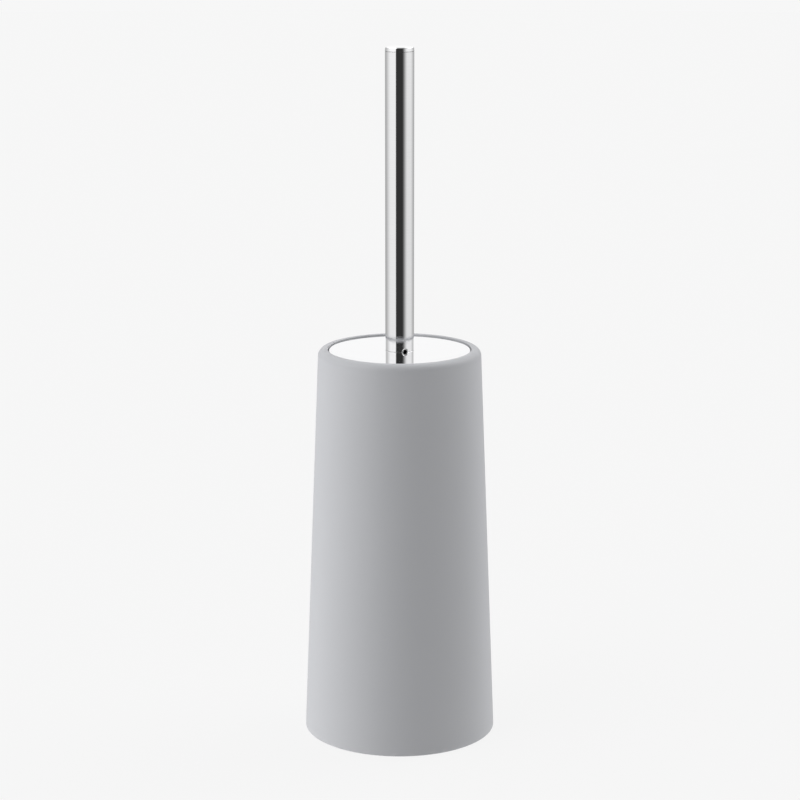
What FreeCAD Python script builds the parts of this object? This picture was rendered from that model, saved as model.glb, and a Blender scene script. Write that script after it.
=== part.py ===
"""Free-standing toilet brush holder: a conical shell over a drip cup, and a brush hung from its lid.

Millimetres, +Z up, origin on the floor at the middle of the foot. Almost every piece is a
turned section, so the outlines below are lists of (radius, height) points.
"""
import FreeCAD, Part
import math
import os

Vector = FreeCAD.Vector

# ---- driving dimensions -------------------------------------------------------------------

# shell
SHELL_HEIGHT = 222.0  # floor to the crest of the rim
SHELL_FOOT_RADIUS = 54.3  # outside, at floor level
SHELL_MOUTH_RADIUS = 45.5  # outside, at the height of the crest
SHELL_WALL = 2.5
SHELL_FOOT_GAP = 0.6  # the shell's edge clears the floor by this much
SHELL_FOOT_ROUND = 0.4
RIM_WIDTH = 5.4  # at the crest, from the lid's recess to the outside
RIM_OUTER_ROUND = 4.0
RIM_INNER_ROUND = 0.5
LEDGE_WIDTH = 2.6  # shelf inside the rim that carries the lid
LEDGE_THICKNESS = 3.0
RIB_COUNT = 8  # ribs inside the shell that stand on the cup
RIB_DEPTH = 1.6
RIB_HEIGHT = 40.0
RIB_WIDTH = 2.0

# base cup and foot ring
CUP_STAND = 1.2  # the cup's underside clears the floor by this much
CUP_FLOOR = 3.0
CUP_WALL = 2.2
CUP_HEIGHT = 30.0  # to the lip, on which the shell's ribs stand
CUP_TAPER = 0.6  # the lip is this much wider than the foot, in radius
CUP_COVE = 2.5
CUP_LIP_ROUND = 0.4
FOOT_RING_WIDTH = 4.5
FOOT_RING_INSET = 2.5  # from the outside of the cup
FOOT_RING_SINK = 1.0
FOOT_RING_ROUND = 0.6

# lid
LID_SINK = 0.8  # top of the lid below the crest of the rim
LID_SHEET = 0.8
LID_EDGE_ROUND = 0.6
LID_DEPTH = 6.7  # top of the lid to the ledge
LID_SKIRT_GAP = 0.5  # steel skirt above the ledge
INSERT_PLATE = 2.5
INSERT_SPIGOT_WALL = 2.2
INSERT_SPIGOT_DEPTH = 5.5  # below the ledge
INSERT_BOSS_RADIUS = 12.0
INSERT_BOSS_DEPTH = 6.0
INSERT_RIB_COUNT = 4
INSERT_RIB_WIDTH = 1.6
INSERT_RIB_DEPTH = 2.6
INSERT_LEAD = 0.8

# handle and stem: one size of tube above and below the lid
TUBE_RADIUS = 8.0
TUBE_WALL = 0.8
HANDLE_RISE = 168.1  # top of the lid to the top of the cap
CAP_RIM = 2.5
CAP_ROUND = 0.6
CAP_PLUG_DEPTH = 8.0
CAP_PLUG_WALL = 1.6
VENT_RADIUS = 1.4  # half-round drain notch in the handle's foot
VENT_AZIMUTH = -67.0
VENT_RECESS = 3.0  # the plug in the handle starts this far above the lid
HANDLE_PLUG_LENGTH = 16.0
PIVOT_RADIUS = 5.0  # neck of the plug, on which the lid turns
STUD_RADIUS = 3.0
STUD_ABOVE = 22.0
STUD_BELOW = 13.0
STUD_CHAMFER = 0.6
STUD_END_GAP = 0.8
LID_WASHER_THICKNESS = 1.0
LID_WASHER_OVERHANG = 1.0  # beyond the tube
LID_PLAY = 0.1
STEM_FLANGE = 2.0
STEM_PLUG_LENGTH = 14.0

# brush head
TIP_CLEARANCE = 20.8  # lowest bristle tips above the cup's floor
HEAD_WASHER_THICKNESS = 1.5
THREAD_MAJOR_RADIUS = 5.0
THREAD_DEPTH = 0.8
THREAD_LENGTH = 12.0
THREAD_LEAD = 0.8
SOCKET_LENGTH = 18.0
SOCKET_END_GAP = 2.0
COLLAR_LENGTH = 4.5
CORE_RADIUS = 15.0
CORE_NECK_LENGTH = 17.5
CORE_LENGTH = 57.5  # below the neck, down to the middle of the round end
TUFT_HOLE_RADIUS = 1.6
TUFT_HOLE_DEPTH = 5.0
TUFT_TIP_RADIUS = 2.8
STAPLE_HEIGHT = 1.2
STAPLE_THICKNESS = 0.5
STAPLE_BITE = 0.15
SIDE_ROWS = 7
SIDE_TUFTS = 14
SIDE_START = 3.0  # lowest side row above the middle of the round end
SIDE_PITCH = 7.6
DOME_ROWS = ((22.0, 12), (45.0, 9), (68.0, 5))  # angle below level, number of tufts

# clearances
LID_GAP = 0.4  # lid edge to rim
SPIGOT_GAP = 0.6  # lid spigot to mouth
BRISTLE_GAP = 3.5  # bristle tips to mouth
SHELL_FIT = 0.3  # cup lip to the inside of the shell
RING_FIT = 0.1
INSERT_FIT = 0.1
PIVOT_FIT = 0.08
PRESS_FIT = 0.02
WASHER_FIT = 0.1
THREAD_FIT = 0.1
TUFT_FIT = 0.1

# ---- heights and radii that follow -----------------------------------------------------------

SHELL_LEAN = (SHELL_FOOT_RADIUS - SHELL_MOUTH_RADIUS) / SHELL_HEIGHT
RIM_BORE = SHELL_MOUTH_RADIUS - RIM_WIDTH
MOUTH_BORE = RIM_BORE - LEDGE_WIDTH
LID_RADIUS = RIM_BORE - LID_GAP
INSERT_SPIGOT_RADIUS = MOUTH_BORE - SPIGOT_GAP
LID_TOP = SHELL_HEIGHT - LID_SINK
LID_UNDERSIDE = LID_TOP - LID_SHEET
LEDGE_HEIGHT = LID_TOP - LID_DEPTH
BOSS_UNDERSIDE = LID_UNDERSIDE - INSERT_BOSS_DEPTH
PLUG_RADIUS = TUBE_RADIUS - TUBE_WALL - PRESS_FIT
JOINT_HEIGHT = BOSS_UNDERSIDE - LID_PLAY - LID_WASHER_THICKNESS
STEM_TOP = JOINT_HEIGHT - STEM_FLANGE
CUP_FLOOR_TOP = CUP_STAND + CUP_FLOOR
TUFT_ROOT_RADIUS = TUFT_HOLE_RADIUS - TUFT_FIT
TUFT_REACH = MOUTH_BORE - BRISTLE_GAP  # from the head's axis, or from the middle of its round end
DOME_HEIGHT = CUP_FLOOR_TOP + TIP_CLEARANCE + TUFT_REACH
NECK_FOOT = DOME_HEIGHT + CORE_LENGTH
HEAD_SHOULDER = NECK_FOOT + CORE_NECK_LENGTH + COLLAR_LENGTH
STEM_FOOT = HEAD_SHOULDER + HEAD_WASHER_THICKNESS
HANDLE_TOP = LID_TOP + HANDLE_RISE


def shell_outside(height):
    """Outer radius of the conical shell."""
    return SHELL_FOOT_RADIUS - SHELL_LEAN * height


def shell_inside(height):
    """Inner radius of the shell's wall."""
    return shell_outside(height) - SHELL_WALL


def cup_outside(height):
    """Outer radius of the cup, which widens upwards until it just fits inside the shell."""
    below_lip = (CUP_HEIGHT - height) / (CUP_HEIGHT - CUP_STAND)
    return shell_inside(CUP_HEIGHT) - SHELL_FIT - CUP_TAPER * below_lip


def foot_ring_groove():
    """Inner and outer radius of the groove for the foot ring."""
    outer = cup_outside(CUP_STAND) - FOOT_RING_INSET
    return outer - FOOT_RING_WIDTH, outer


# ---- helpers -----------------------------------------------------------------------------


def turned(outline):
    """Solid of revolution about Z from a closed outline of (radius, height) points."""
    points = [Vector(radius, 0, height) for radius, height in outline]
    face = Part.Face(Part.makePolygon(points + points[:1]))
    return face.revolve(Vector(0, 0, 0), Vector(0, 0, 1), 360)


def rounded(shape, size, circles):
    """Fillet the full-circle edges of a turned solid that lie at the given (radius, height)."""
    chosen = []
    for edge in shape.Edges:
        if not isinstance(edge.Curve, Part.Circle):
            continue
        for radius, height in circles:
            same_radius = abs(edge.Curve.Radius - radius) < 1e-4
            if same_radius and abs(edge.Curve.Center.z - height) < 1e-4:
                chosen.append(edge)
    return shape.makeFillet(size, chosen)


def ring(inner, outer, low, high):
    """Flat ring between two radii and two heights."""
    return turned([(inner, low), (outer, low), (outer, high), (inner, high)])


def around(shape, count, start=0.0):
    """Copies of a shape spaced evenly about Z, the first turned by the start angle."""
    copies = []
    for index in range(count):
        copy = shape.copy()
        copy.rotate(Vector(0, 0, 0), Vector(0, 0, 1), start + 360.0 * index / count)
        copies.append(copy)
    return copies


def radial_bar(inner, outer, width, low, high):
    """Upright bar of the given width, from one radius to another along +X."""
    return Part.makeBox(outer - inner, width, high - low, Vector(inner, -width / 2, low))


# ---- shell ----------------------------------------------------------------------------


def outer_shell():
    """Conical wall with a thick rim, a ledge for the lid and ribs that stand on the cup."""
    ledge_foot = LEDGE_HEIGHT - LEDGE_THICKNESS
    # the ledge's underside falls at 45 degrees until it meets the wall
    chamfer_foot = (ledge_foot - SHELL_FOOT_RADIUS + SHELL_WALL + MOUTH_BORE) / (1 - SHELL_LEAN)
    body = turned([
        (shell_inside(SHELL_FOOT_GAP), SHELL_FOOT_GAP),
        (shell_outside(SHELL_FOOT_GAP), SHELL_FOOT_GAP),
        (SHELL_MOUTH_RADIUS, SHELL_HEIGHT),
        (RIM_BORE, SHELL_HEIGHT),
        (RIM_BORE, LEDGE_HEIGHT),
        (MOUTH_BORE, LEDGE_HEIGHT),
        (MOUTH_BORE, ledge_foot),
        (shell_inside(chamfer_foot), chamfer_foot),
    ])
    body = rounded(body, RIM_OUTER_ROUND, [(SHELL_MOUTH_RADIUS, SHELL_HEIGHT)])
    body = rounded(body, RIM_INNER_ROUND, [(RIM_BORE, SHELL_HEIGHT)])
    foot_edge = (shell_outside(SHELL_FOOT_GAP), SHELL_FOOT_GAP)
    body = rounded(body, SHELL_FOOT_ROUND, [foot_edge])
    return body.fuse(around(shell_rib(), RIB_COUNT)).removeSplitter()


def shell_rib():
    """Wedge along +X, deepest at its foot, that fades into the wall and has its back inside it."""
    rib_top = CUP_HEIGHT + RIB_HEIGHT
    foot_face = Vector(shell_inside(CUP_HEIGHT) - RIB_DEPTH, -RIB_WIDTH / 2, CUP_HEIGHT)
    side = Part.Face(Part.makePolygon([
        foot_face,
        Vector(shell_outside(CUP_HEIGHT) - SHELL_WALL / 2, -RIB_WIDTH / 2, CUP_HEIGHT),
        Vector(shell_outside(rib_top) - SHELL_WALL / 2, -RIB_WIDTH / 2, rib_top),
        Vector(shell_inside(rib_top), -RIB_WIDTH / 2, rib_top),
        foot_face,
    ]))
    return side.extrude(Vector(0, RIB_WIDTH, 0))


# ---- base -----------------------------------------------------------------------------


def base_cup():
    """Drip cup that closes the shell's foot, with a coved well and a groove for the foot ring."""
    groove_inner, groove_outer = foot_ring_groove()
    groove_top = CUP_STAND + FOOT_RING_SINK
    outer_foot = cup_outside(CUP_STAND)
    outer_lip = cup_outside(CUP_HEIGHT)
    well_foot = cup_outside(CUP_FLOOR_TOP) - CUP_WALL
    well_lip = outer_lip - CUP_WALL
    body = turned([
        (0, CUP_STAND),
        (groove_inner, CUP_STAND),
        (groove_inner, groove_top),
        (groove_outer, groove_top),
        (groove_outer, CUP_STAND),
        (outer_foot, CUP_STAND),
        (outer_lip, CUP_HEIGHT),
        (well_lip, CUP_HEIGHT),
        (well_foot, CUP_FLOOR_TOP),
        (0, CUP_FLOOR_TOP),
    ])
    body = rounded(body, CUP_COVE, [(well_foot, CUP_FLOOR_TOP)])
    return rounded(body, CUP_LIP_ROUND, [(outer_lip, CUP_HEIGHT), (well_lip, CUP_HEIGHT)])


def foot_ring():
    """Soft ring in the cup's groove, on which everything stands."""
    groove_inner, groove_outer = foot_ring_groove()
    inner = groove_inner + RING_FIT
    outer = groove_outer - RING_FIT
    body = ring(inner, outer, 0, CUP_STAND + FOOT_RING_SINK)
    return rounded(body, FOOT_RING_ROUND, [(inner, 0), (outer, 0)])


# ---- lid ------------------------------------------------------------------------------


def lid_plate():
    """Pressed steel disc with a short turned-down skirt."""
    bore = PIVOT_RADIUS + PIVOT_FIT
    skirt_foot = LEDGE_HEIGHT + LID_SKIRT_GAP
    body = turned([
        (bore, LID_UNDERSIDE),
        (LID_RADIUS - LID_SHEET, LID_UNDERSIDE),
        (LID_RADIUS - LID_SHEET, skirt_foot),
        (LID_RADIUS, skirt_foot),
        (LID_RADIUS, LID_TOP),
        (bore, LID_TOP),
    ])
    return rounded(body, LID_EDGE_ROUND, [(LID_RADIUS, LID_TOP)])


def lid_insert():
    """Plastic plate under the steel disc: it rests on the ledge and centres the lid."""
    bore = PIVOT_RADIUS + PIVOT_FIT
    outer = LID_RADIUS - LID_SHEET - INSERT_FIT
    hollow = INSERT_SPIGOT_RADIUS - INSERT_SPIGOT_WALL
    plate_foot = LID_UNDERSIDE - INSERT_PLATE
    spigot_foot = LEDGE_HEIGHT - INSERT_SPIGOT_DEPTH
    body = turned([
        (bore, BOSS_UNDERSIDE),
        (INSERT_BOSS_RADIUS, BOSS_UNDERSIDE),
        (INSERT_BOSS_RADIUS, plate_foot),
        (hollow, plate_foot),
        (hollow, spigot_foot),
        (INSERT_SPIGOT_RADIUS - INSERT_LEAD, spigot_foot),
        (INSERT_SPIGOT_RADIUS, spigot_foot + INSERT_LEAD),
        (INSERT_SPIGOT_RADIUS, LEDGE_HEIGHT),
        (outer, LEDGE_HEIGHT),
        (outer, LID_UNDERSIDE),
        (bore, LID_UNDERSIDE),
    ])
    middle_of_boss = (bore + INSERT_BOSS_RADIUS) / 2
    middle_of_wall = (hollow + INSERT_SPIGOT_RADIUS) / 2
    middle_of_plate = (plate_foot + LID_UNDERSIDE) / 2
    rib = radial_bar(middle_of_boss, middle_of_wall, INSERT_RIB_WIDTH,
                     plate_foot - INSERT_RIB_DEPTH, middle_of_plate)
    first = 180.0 / INSERT_RIB_COUNT
    return body.fuse(around(rib, INSERT_RIB_COUNT, first)).removeSplitter()


# ---- handle and stem ---------------------------------------------------------------------


def handle_tube():
    """Upper tube, with a half-round drain notch where it stands on the lid."""
    tube = ring(TUBE_RADIUS - TUBE_WALL, TUBE_RADIUS, LID_TOP, HANDLE_TOP - CAP_RIM)
    notch = Part.makeCylinder(VENT_RADIUS, 2 * TUBE_RADIUS, Vector(0, 0, LID_TOP), Vector(1, 0, 0))
    notch.rotate(Vector(0, 0, 0), Vector(0, 0, 1), VENT_AZIMUTH)
    return tube.cut(notch)


def handle_cap():
    """Turned cap that closes the handle, flush with the tube, with a hollow plug."""
    rim_foot = HANDLE_TOP - CAP_RIM
    plug_foot = rim_foot - CAP_PLUG_DEPTH
    body = turned([
        (0, rim_foot),
        (PLUG_RADIUS - CAP_PLUG_WALL, rim_foot),
        (PLUG_RADIUS - CAP_PLUG_WALL, plug_foot),
        (PLUG_RADIUS, plug_foot),
        (PLUG_RADIUS, rim_foot),
        (TUBE_RADIUS, rim_foot),
        (TUBE_RADIUS, HANDLE_TOP),
        (0, HANDLE_TOP),
    ])
    return rounded(body, CAP_ROUND, [(TUBE_RADIUS, HANDLE_TOP)])


def handle_insert():
    """Plug in the handle's foot, with a neck through the lid on which the lid turns."""
    bore = STUD_RADIUS + PRESS_FIT
    plug_foot = LID_TOP + VENT_RECESS
    plug_top = plug_foot + HANDLE_PLUG_LENGTH
    bore_top = JOINT_HEIGHT + STUD_ABOVE + STUD_END_GAP
    return turned([
        (bore, JOINT_HEIGHT),
        (PIVOT_RADIUS, JOINT_HEIGHT),
        (PIVOT_RADIUS, plug_foot),
        (PLUG_RADIUS, plug_foot),
        (PLUG_RADIUS, plug_top),
        (0, plug_top),
        (0, bore_top),
        (bore, bore_top),
    ])


def joining_stud():
    """Threaded rod that clamps handle and stem together, drawn at its outside diameter."""
    low = JOINT_HEIGHT - STUD_BELOW
    high = JOINT_HEIGHT + STUD_ABOVE
    return turned([
        (0, low),
        (STUD_RADIUS - STUD_CHAMFER, low),
        (STUD_RADIUS, low + STUD_CHAMFER),
        (STUD_RADIUS, high - STUD_CHAMFER),
        (STUD_RADIUS - STUD_CHAMFER, high),
        (0, high),
    ])


def lid_washer():
    """Low-friction washer between the stem's flange and the lid."""
    inner = PIVOT_RADIUS + WASHER_FIT
    outer = TUBE_RADIUS + LID_WASHER_OVERHANG
    return ring(inner, outer, JOINT_HEIGHT, JOINT_HEIGHT + LID_WASHER_THICKNESS)


def stem_top_insert():
    """Flanged plug in the top of the stem, which takes the stud."""
    bore = STUD_RADIUS + PRESS_FIT
    bore_foot = JOINT_HEIGHT - STUD_BELOW - STUD_END_GAP
    plug_foot = STEM_TOP - STEM_PLUG_LENGTH
    return turned([
        (0, plug_foot),
        (PLUG_RADIUS, plug_foot),
        (PLUG_RADIUS, STEM_TOP),
        (TUBE_RADIUS, STEM_TOP),
        (TUBE_RADIUS, JOINT_HEIGHT),
        (bore, JOINT_HEIGHT),
        (bore, bore_foot),
        (0, bore_foot),
    ])


def stem_tube():
    """Lower tube, from the lid to the brush head."""
    return ring(TUBE_RADIUS - TUBE_WALL, TUBE_RADIUS, STEM_FOOT, STEM_TOP)


def stem_thread_insert():
    """Plug in the stem's foot with the head's thread, bored at the thread's outside diameter."""
    bore = THREAD_MAJOR_RADIUS + THREAD_FIT
    bore_top = STEM_FOOT + SOCKET_LENGTH - SOCKET_END_GAP
    return turned([
        (bore, STEM_FOOT),
        (PLUG_RADIUS, STEM_FOOT),
        (PLUG_RADIUS, STEM_FOOT + SOCKET_LENGTH),
        (0, STEM_FOOT + SOCKET_LENGTH),
        (0, bore_top),
        (bore, bore_top),
    ])


# ---- brush head --------------------------------------------------------------------------


def head_washer():
    """Rubber washer between the stem and the head's collar."""
    return ring(THREAD_MAJOR_RADIUS + WASHER_FIT, TUBE_RADIUS, HEAD_SHOULDER, STEM_FOOT)


def tuft_places():
    """Node name, root point and direction of every tuft, in rows from the top down."""
    dome = Vector(0, 0, DOME_HEIGHT)
    places = []
    for row in range(SIDE_ROWS):
        height = DOME_HEIGHT + SIDE_START + SIDE_PITCH * (SIDE_ROWS - 1 - row)
        for index in range(SIDE_TUFTS):
            turn = 2 * math.pi * (index + 0.5 * (row % 2)) / SIDE_TUFTS
            outward = Vector(math.cos(turn), math.sin(turn), 0)
            places.append((f"bristle_row_{row + 1}", Vector(0, 0, height), outward))
    for row, (below_level, count) in enumerate(DOME_ROWS):
        dip = math.radians(below_level)
        for index in range(count):
            turn = 2 * math.pi * (index + 0.5 * (row % 2)) / count
            outward = Vector(math.cos(turn) * math.cos(dip), math.sin(turn) * math.cos(dip),
                             -math.sin(dip))
            places.append((f"bristle_dome_{row + 1}", dome, outward))
    places.append(("bristle_tip", dome, Vector(0, 0, -1)))
    return places


def set_in(shape, root, outward):
    """Copy of a shape drawn along +X, turned to point outward from its root."""
    copy = shape.copy()
    copy.Placement = FreeCAD.Placement(root, FreeCAD.Rotation(Vector(1, 0, 0), outward))
    return copy


def head_core(places):
    """Moulded core with a round end, a tapered neck, a threaded spigot and the tuft holes."""
    minor = THREAD_MAJOR_RADIUS - THREAD_DEPTH
    spigot_top = HEAD_SHOULDER + THREAD_LENGTH
    body = turned([
        (0, DOME_HEIGHT),
        (CORE_RADIUS, DOME_HEIGHT),
        (CORE_RADIUS, NECK_FOOT),
        (TUBE_RADIUS, HEAD_SHOULDER - COLLAR_LENGTH),
        (TUBE_RADIUS, HEAD_SHOULDER),
        (minor, HEAD_SHOULDER),
        (minor, spigot_top - THREAD_LEAD),
        (minor - THREAD_LEAD, spigot_top),
        (0, spigot_top),
    ])
    ball = Part.makeSphere(CORE_RADIUS, Vector(0, 0, DOME_HEIGHT), Vector(0, 0, 1), -90, 0, 360)
    body = body.fuse(ball).removeSplitter()
    floor = CORE_RADIUS - TUFT_HOLE_DEPTH
    drill = Part.makeCylinder(TUFT_HOLE_RADIUS, TUFT_HOLE_DEPTH + TUFT_HOLE_RADIUS,
                              Vector(floor, 0, 0), Vector(1, 0, 0))
    return body.cut([set_in(drill, root, outward) for _, root, outward in places])


def bristle_rows(places):
    """Tufts of each row as a compound of flared round bundles, keyed by node name."""
    foot = CORE_RADIUS - TUFT_HOLE_DEPTH + STAPLE_HEIGHT
    section = Part.Face(Part.makePolygon([
        Vector(foot, 0, 0),
        Vector(foot, TUFT_ROOT_RADIUS, 0),
        Vector(CORE_RADIUS, TUFT_ROOT_RADIUS, 0),
        Vector(TUFT_REACH, TUFT_TIP_RADIUS, 0),
        Vector(TUFT_REACH, 0, 0),
        Vector(foot, 0, 0),
    ]))
    tuft = section.revolve(Vector(0, 0, 0), Vector(1, 0, 0), 360)
    rows = {}
    for name, root, outward in places:
        rows.setdefault(name, []).append(set_in(tuft, root, outward))
    return {name: Part.makeCompound(tufts) for name, tufts in rows.items()}


def tuft_staples(places):
    """Small plates that bite into the sides of the tuft holes and hold the tufts."""
    floor = CORE_RADIUS - TUFT_HOLE_DEPTH
    half_width = TUFT_HOLE_RADIUS + STAPLE_BITE
    plate = Part.makeBox(STAPLE_HEIGHT, 2 * half_width, STAPLE_THICKNESS,
                         Vector(floor, -half_width, -STAPLE_THICKNESS / 2))
    return Part.makeCompound([set_in(plate, root, outward) for _, root, outward in places])


# ---- build -----------------------------------------------------------------------------


def main():
    places = tuft_places()
    nodes = {
        "outer_shell": outer_shell(),
        "base_cup": base_cup(),
        "foot_ring": foot_ring(),
        "lid_plate": lid_plate(),
        "lid_insert": lid_insert(),
        "handle_tube": handle_tube(),
        "handle_cap": handle_cap(),
        "handle_insert": handle_insert(),
        "joining_stud": joining_stud(),
        "lid_washer": lid_washer(),
        "stem_top_insert": stem_top_insert(),
        "stem_tube": stem_tube(),
        "stem_thread_insert": stem_thread_insert(),
        "head_washer": head_washer(),
        "head_core": head_core(places),
        "tuft_staples": tuft_staples(places),
    }
    nodes.update(bristle_rows(places))
    os.makedirs("parts", exist_ok=True)
    for name, shape in nodes.items():
        print(f"{name}: {len(shape.Solids)} solids, {shape.Volume:.1f} mm3, valid {shape.isValid()}")
        shape.exportStep(f"parts/{name}.step")


main()
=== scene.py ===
"""Free-standing toilet brush holder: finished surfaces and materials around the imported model.

Metres, +Z up, the floor at zero. Most pieces are turned on the Z axis, so their sections are
lists of (radius, height, corner radius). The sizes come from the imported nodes' boxes and from
the wall thicknesses and roundings named below.
"""

import math

import bmesh
import bpy
import numpy as np
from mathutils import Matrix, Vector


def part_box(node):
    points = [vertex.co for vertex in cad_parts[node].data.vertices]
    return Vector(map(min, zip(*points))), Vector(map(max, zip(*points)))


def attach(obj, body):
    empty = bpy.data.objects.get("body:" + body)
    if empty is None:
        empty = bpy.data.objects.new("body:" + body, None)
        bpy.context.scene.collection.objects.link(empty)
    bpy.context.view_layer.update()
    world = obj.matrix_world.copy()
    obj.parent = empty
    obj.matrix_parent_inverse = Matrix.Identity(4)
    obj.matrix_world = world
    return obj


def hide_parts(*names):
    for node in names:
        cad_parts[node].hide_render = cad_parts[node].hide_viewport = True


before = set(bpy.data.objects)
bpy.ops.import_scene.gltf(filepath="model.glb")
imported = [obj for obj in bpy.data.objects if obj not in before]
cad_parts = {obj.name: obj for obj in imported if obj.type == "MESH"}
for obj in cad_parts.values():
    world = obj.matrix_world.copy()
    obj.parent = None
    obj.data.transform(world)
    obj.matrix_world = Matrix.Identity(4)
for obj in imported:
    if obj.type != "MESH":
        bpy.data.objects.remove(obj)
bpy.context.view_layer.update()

MM = 0.001
TURN = 2 * math.pi


def reach(node):
    """Outer radius of a turned node."""
    return max(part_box(node)[1].x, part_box(node)[1].y)


def low(node):
    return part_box(node)[0].z


def high(node):
    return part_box(node)[1].z


# ---- sizes ------------------------------------------------------------------------------

# roundings of edges
SEAM_EDGE = 0.02 * MM  # edges that meet at a seam
SHEET_EDGE = 0.1 * MM  # cut sheet and tube
COLLAR_EDGE = 0.12 * MM  # where the stem meets its collar
COLLAR_ROUND = 0.25 * MM  # at the collar's top
EDGE = 0.15 * MM  # ordinary broken edge
SMALL_ROUND = 0.2 * MM
PLUG_ROUND = 0.3 * MM
MOULDED_ROUND = 0.4 * MM
FILLET = 0.8 * MM

ARC_STEP = 9.0  # degrees between the points of a rounding
ARC_LEAST = 4  # steps in the smallest rounding
LEAD_SHARE = 0.3  # of a straight side, at most, from its end to the point beside it
LEAD_LEAST = 1e-6

# segments round a turned piece
WIDE_SEGMENTS = 256
SEGMENTS = 192
SMALL_SEGMENTS = 128
ROD_SEGMENTS = 64

SHELL_FOOT = low("outer_shell")
SHELL_CREST = high("outer_shell")
SHELL_FOOT_RADIUS = reach("outer_shell")
SHELL_MOUTH_RADIUS = 45.5 * MM
SHELL_LEAN = (SHELL_FOOT_RADIUS - SHELL_MOUTH_RADIUS) / (SHELL_CREST - SHELL_FOOT)
SHELL_WALL = 2.5 * MM
RIM_OUTER_ROUND = 4.0 * MM
RIM_INNER_ROUND = 0.5 * MM
RIM_BORE = reach("lid_plate") + 0.4 * MM
LEDGE_WIDTH = 2.6 * MM
LEDGE_THICKNESS = 3.0 * MM
LEDGE_FILLET = 1.0 * MM
RIB_COUNT = 8
RIB_DEPTH = 1.6 * MM
RIB_WIDTH = 2.0 * MM
RIB_HEIGHT = 40.0 * MM

CUP_FOOT = low("base_cup")
CUP_LIP = high("base_cup")
CUP_TAPER = 0.6 * MM
CUP_WALL = 2.2 * MM
CUP_FLOOR = 3.0 * MM
CUP_COVE = 2.5 * MM
RING_FIT = 0.1 * MM
RING_WIDTH = 4.5 * MM
RING_ROUND = 0.6 * MM

LID_TOP = high("lid_plate")
LID_RADIUS = reach("lid_plate")
LID_SHEET = 0.8 * MM
LID_EDGE_ROUND = 0.6 * MM
PIVOT_BORE = 5.08 * MM
INSERT_FIT = 0.1 * MM
INSERT_PLATE = 2.5 * MM
INSERT_BOSS_RADIUS = 12.0 * MM
INSERT_BOSS_DEPTH = 6.0 * MM
SPIGOT_GAP = 0.6 * MM
SPIGOT_WALL = 2.2 * MM
SPIGOT_DEPTH = 5.5 * MM
SPIGOT_LEAD = 0.8 * MM  # chamfer that leads the lid into the mouth
INSERT_RIB_COUNT = 4
INSERT_RIB_WIDTH = 1.6 * MM
INSERT_RIB_DEPTH = 2.6 * MM

TUBE_RADIUS = reach("handle_tube")
TUBE_WALL = 0.8 * MM
TUBE_BORE = TUBE_RADIUS - TUBE_WALL
PLUG_FIT = 0.02 * MM
PLUG_RADIUS = TUBE_BORE - PLUG_FIT
CAP_RIM = 2.5 * MM
CAP_PLUG_WALL = 1.6 * MM
CAP_ROUND = 0.6 * MM
CAP_DRAFT = 0.2 * MM  # the cap's side leans in by this much
SEAM_WIDTH = 0.2 * MM  # shadow line under the cap
SEAM_DEPTH = 0.6 * MM
CAP_SEAM = high("handle_cap") - CAP_RIM + SEAM_WIDTH  # upper edge of the shadow line
FOOT_GAP = 0.05 * MM  # shadow line between the tube's edge and the lid
FOOT_STEP = 0.4 * MM
FOOT_CHAMFER = 0.15 * MM
VENT_RADIUS = 1.4 * MM
VENT_FLARE = 0.5 * MM
VENT_AZIMUTH = math.radians(-67.0)
VENT_HALF_WIDTH = 0.22  # angle each side of the notch that has close columns
VENT_COLUMNS = 90
VENT_RECESS = 3.0 * MM  # room above the lid, inside the tube
PIVOT_RADIUS = 5.0 * MM
STUD_RADIUS = reach("joining_stud")
STUD_PITCH = 1.0 * MM
STUD_THREAD_DEPTH = 0.55 * MM
STUD_BORE = STUD_RADIUS + PLUG_FIT
STUD_END_GAP = 0.8 * MM
WASHER_BORE = 5.1 * MM

HEAD_THREAD_PITCH = 3.0 * MM
HEAD_THREAD_MAJOR = 5.0 * MM
HEAD_THREAD_MINOR = 4.2 * MM
HEAD_THREAD_BORE = 5.1 * MM
HEAD_THREAD_CLEARANCE = 0.15 * MM
HEAD_THREAD_END = 0.4 * MM  # plain length at each end of the thread
SOCKET_THREAD_END = 0.6 * MM
SOCKET_LEAD = 0.5 * MM
SOCKET_END_GAP = 2.0 * MM

# screw ridges, as shares of the pitch or of a turn
RIDGE_STEPS = 48  # sections in a turn
RIDGE_FOOT = 0.36
RIDGE_FLAT = 0.13
RIDGE_START = 0.25
RIDGE_RUNOUT = 3.0  # its height fades over one turn divided by this
RIDGE_LEAST = 0.02  # share of the height that is left at the ends
RIDGE_ROOT = 0.1 * MM  # sunk into the core by this much

CORE_RADIUS = reach("head_core")
TUFT_REACH = 34.0 * MM
TUFT_ROOT = 1.5 * MM  # filaments start this far inside the core
TUFT_HOLE_RADIUS = 1.6 * MM
SIDE_SPREAD = 4.4 * MM
DOME_SPREAD = 6.0 * MM
SIDE_ROWS = 7
SIDE_TUFTS = 14
DOME_ROWS = ((22.0, 12), (45.0, 9), (68.0, 5))  # degrees below level, tufts
# the rows beside the gap between side and dome lean into it
TUFT_LEAN = {f"bristle_row_{SIDE_ROWS}": -2.6 * MM, "bristle_dome_1": 2.6 * MM}
TIP_SCATTER = 0.55 * MM
BEND_SCATTER = 1.1 * MM
LENGTH_SCATTER = 1.0 * MM
TUFT_CROWN = 0.4 * MM  # the outermost filaments are shorter by this much
FILAMENTS = 36
FILAMENT_RADIUS = 0.21 * MM
FILAMENT_TAPER = 0.25
FILAMENT_STEPS = 5
FILAMENT_SIDES = 3
GOLDEN_ANGLE = 2.39996
SEED = 11


# ---- mesh building -----------------------------------------------------------------------


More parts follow.
